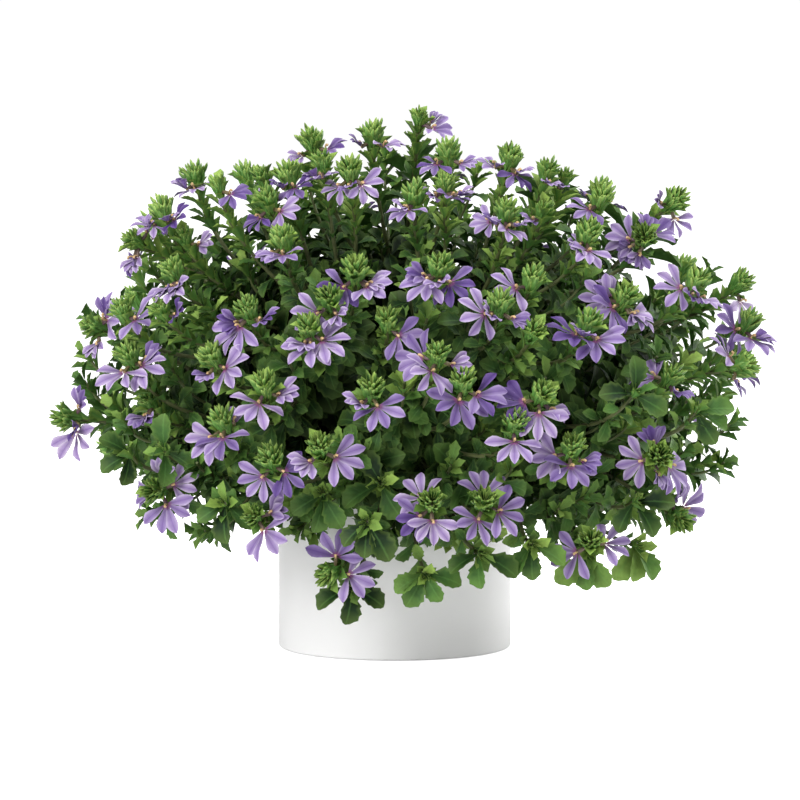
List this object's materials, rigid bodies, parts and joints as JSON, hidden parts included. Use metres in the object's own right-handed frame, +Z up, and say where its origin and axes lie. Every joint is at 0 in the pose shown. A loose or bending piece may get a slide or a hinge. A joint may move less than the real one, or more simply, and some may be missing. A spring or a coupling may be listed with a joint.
{
  "type": "potted fan flower",
  "caption": "Mounded, trailing balcony plant with one-sided lilac fan blooms under leafy green tufts, standing in a plain round white pot filled with soil.",
  "frame": {"origin": "centre of the pot's flat underside", "axes": "+Z up along the pot's axis, -Y toward the side that the picture shows, +X to its right"},
  "size_m": [0.3982, 0.3605, 0.3061],
  "materials": {
    "pot": "satin white",
    "soil": "matte, crumbly potting soil",
    "foliage": "matte living leaf",
    "petals": "matte living petal"
  },
  "bodies": {
    "root": {"pot": "pot", "soil": "soil", "stem_low_1": "foliage", "stem_low_2": "foliage", "stem_low_3": "foliage", "stem_low_4": "foliage", "stem_low_5": "foliage", "stem_low_6": "foliage", "stem_low_7": "foliage", "stem_mid_1": "foliage", "stem_mid_2": "foliage", "stem_mid_3": "foliage", "stem_mid_4": "foliage", "stem_mid_5": "foliage", "stem_top": "foliage", "blooms_1": "petals", "blooms_2": "petals", "blooms_3": "petals", "blooms_4": "petals", "blooms_5": "petals", "blooms_6": "petals", "blooms_7": "petals", "blooms_8": "petals", "blooms_9": "petals", "blooms_10": "petals", "blooms_11": "petals", "blooms_12": "petals", "blooms_13": "petals", "blooms_14": "petals", "blooms_15": "petals", "blooms_16": "petals", "blooms_17": "petals", "blooms_18": "petals", "blooms_19": "petals", "blooms_20": "petals", "blooms_21": "petals", "blooms_22": "petals", "blooms_23": "petals", "blooms_24": "petals", "blooms_25": "petals", "blooms_26": "petals", "blooms_27": "petals", "blooms_28": "petals", "blooms_29": "petals", "blooms_30": "petals", "blooms_31": "petals", "blooms_32": "petals", "blooms_33": "petals", "blooms_34": "petals", "blooms_35": "petals", "blooms_36": "petals", "blooms_37": "petals", "blooms_38": "petals", "blooms_39": "petals", "blooms_40": "petals", "blooms_41": "petals", "blooms_42": "petals", "blooms_43": "petals", "blooms_44": "petals", "blooms_45": "petals"}
  },
  "joints": []
}
